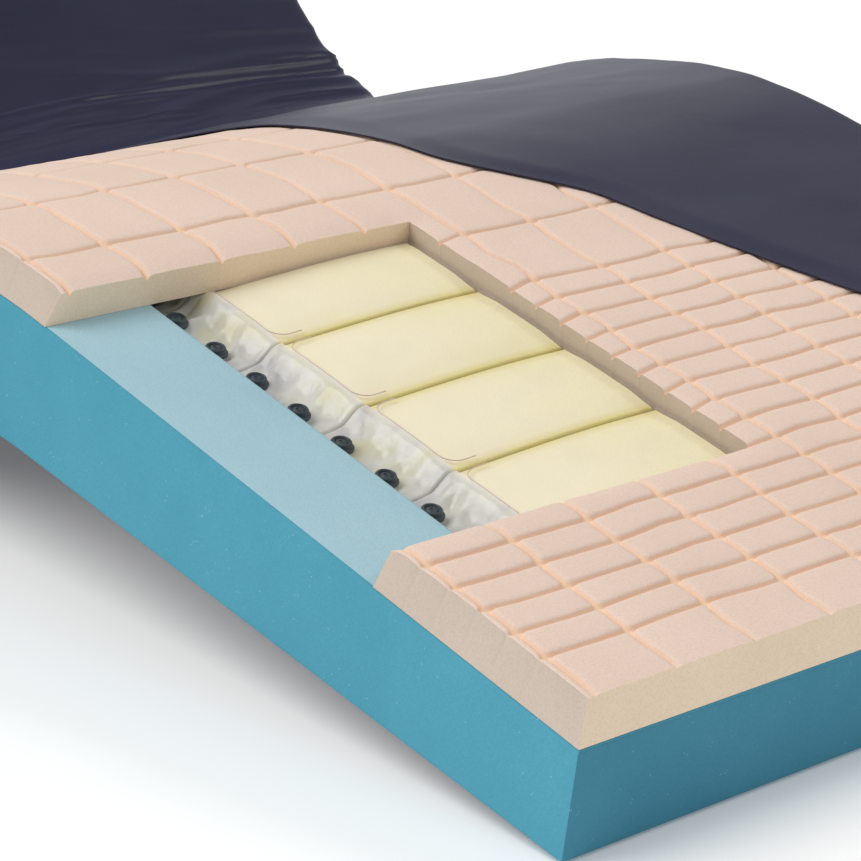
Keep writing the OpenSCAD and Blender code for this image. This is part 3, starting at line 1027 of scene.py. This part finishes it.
def zip_end():
    """Tape and teeth across the head end."""
    y = spread(-HALF_W - OUT, HALF_W + OUT, 0.03)
    grid_y, grid_n = np.meshgrid(y, TAPE_N, indexing="ij")
    points, faces, _, _ = block(at(LENGTH + ZIP_OUT, grid_n, grid_y),
                                at(LENGTH + ZIP_IN, grid_n, grid_y))
    teeth = zip_teeth(-HALF_W, HALF_W, lambda y, n, out: (LENGTH + ZIP_OUT + out, n, y))
    return [(points, faces, [0] * len(faces)), *teeth]


def zips(fold):
    """Zip of one piece: on the far side, where the cover is whole on the near side too, and
    across the head end."""
    low, high = CUTS[fold], CUTS[fold + 1]
    low = 0.002 if fold == 0 else low
    parts = zip_run(low, high, 1)
    if fold >= FIRST_WALLED:
        parts += zip_run(low, high, -1)
    elif low < BARE_END < high:
        parts += zip_run(BARE_END + 0.002, high, -1)
    if fold == HEAD_FOLD:
        parts += zip_end()
    points, faces, index = join_parts(parts)
    piece = make_object(f"zip_{fold + 1}", points, faces, [zip_cloth, zip_tooth], index, sharp=40)
    clean_mesh(piece, face_out)
    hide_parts(*layer_nodes("zip", fold))
    cross_fold(piece, fold)


def zip_slider():
    """The slider keeps its CAD shape."""
    slider = bpy.data.objects["zip_slider"]
    slider.data.materials.clear()
    slider.data.materials.append(zip_metal)


# ---------------------------------------------------------------- camera, light and floor
AZIMUTH, ELEVATION = 39.44, 18.51
LENS, SENSOR = 127.2, 36.0
CAMERA_AT = (2.1836, -1.5980, 0.8665)


def camera():
    data = bpy.data.cameras.new("camera")
    data.lens = LENS
    data.sensor_width = SENSOR
    obj = bpy.data.objects.new("camera", data)
    az, el = math.radians(AZIMUTH), math.radians(ELEVATION)
    back = Vector((math.cos(az) * math.cos(el), -math.sin(az) * math.cos(el), math.sin(el)))
    obj.rotation_euler = back.to_track_quat("Z", "Y").to_euler()
    obj.location = CAMERA_AT
    bpy.context.scene.collection.objects.link(obj)
    bpy.context.scene.camera = obj


def sun(name, towards, strength, softness, colour):
    """Sunlight that comes from a direction."""
    data = bpy.data.lights.new(name, "SUN")
    data.energy = strength
    data.angle = math.radians(softness)
    data.color = colour
    obj = bpy.data.objects.new(name, data)
    obj.rotation_euler = Vector(towards).to_track_quat("Z", "Y").to_euler()
    bpy.context.scene.collection.objects.link(obj)


def floor():
    """Plain pale floor just under the lowest point."""
    reach, below = 30.0, 0.0005
    corners = [(-reach, -reach, 0), (reach, -reach, 0), (reach, reach, 0), (-reach, reach, 0)]
    mesh = bpy.data.meshes.new("floor")
    mesh.from_pydata(corners, [], [(0, 1, 2, 3)])
    obj = bpy.data.objects.new("floor", mesh)
    obj.location.z = cad_box[0][2] - below
    n = Nodes("floor_pale", Roughness=0.9, Specular_IOR_Level=0.1)
    n.colour(n.ramp(n.noise(2, 2), (0.3, (0.94, 0.94, 0.94)), (0.7, (0.96, 0.96, 0.96))))
    n.shader.inputs["Emission Color"].default_value = (1, 1, 1, 1)
    n.shader.inputs["Emission Strength"].default_value = 0.12
    mesh.materials.append(n.material)
    bpy.context.scene.collection.objects.link(obj)


def studio():
    """Even pale surroundings, a broad main light and two weak ones from behind."""
    world = bpy.data.worlds.new("studio")
    world.use_nodes = True
    sky = world.node_tree.nodes["Background"].inputs
    sky["Color"].default_value = (0.98, 0.99, 1.0, 1)
    sky["Strength"].default_value = 0.42
    bpy.context.scene.world = world
    bpy.context.scene.view_settings.view_transform = "Standard"
    sun("key", (-0.30, -0.56, 0.77), 1.88, 45, (1.0, 0.985, 0.96))
    sun("back", (-0.75, 0.55, 0.30), 0.09, 24, (0.98, 0.98, 1.0))
    sun("rim", (0.49, 0.60, 0.63), 0.45, 12, (0.98, 0.98, 1.0))
    floor()


# ---------------------------------------------------------------- the whole mattress
def main():
    camera()
    studio()
    for fold in range(len(FOLD_AT)):
        base_tray(fold)
        topper(fold)
        top_cover(fold)
        under_cover(fold)
        zips(fold)
    for body in SECTIONS:
        for k in cells_of(body):
            foam_core(k, body)
    for body in SECTIONS:
        sleeves(body)
        valves(body)
    zip_slider()


main()
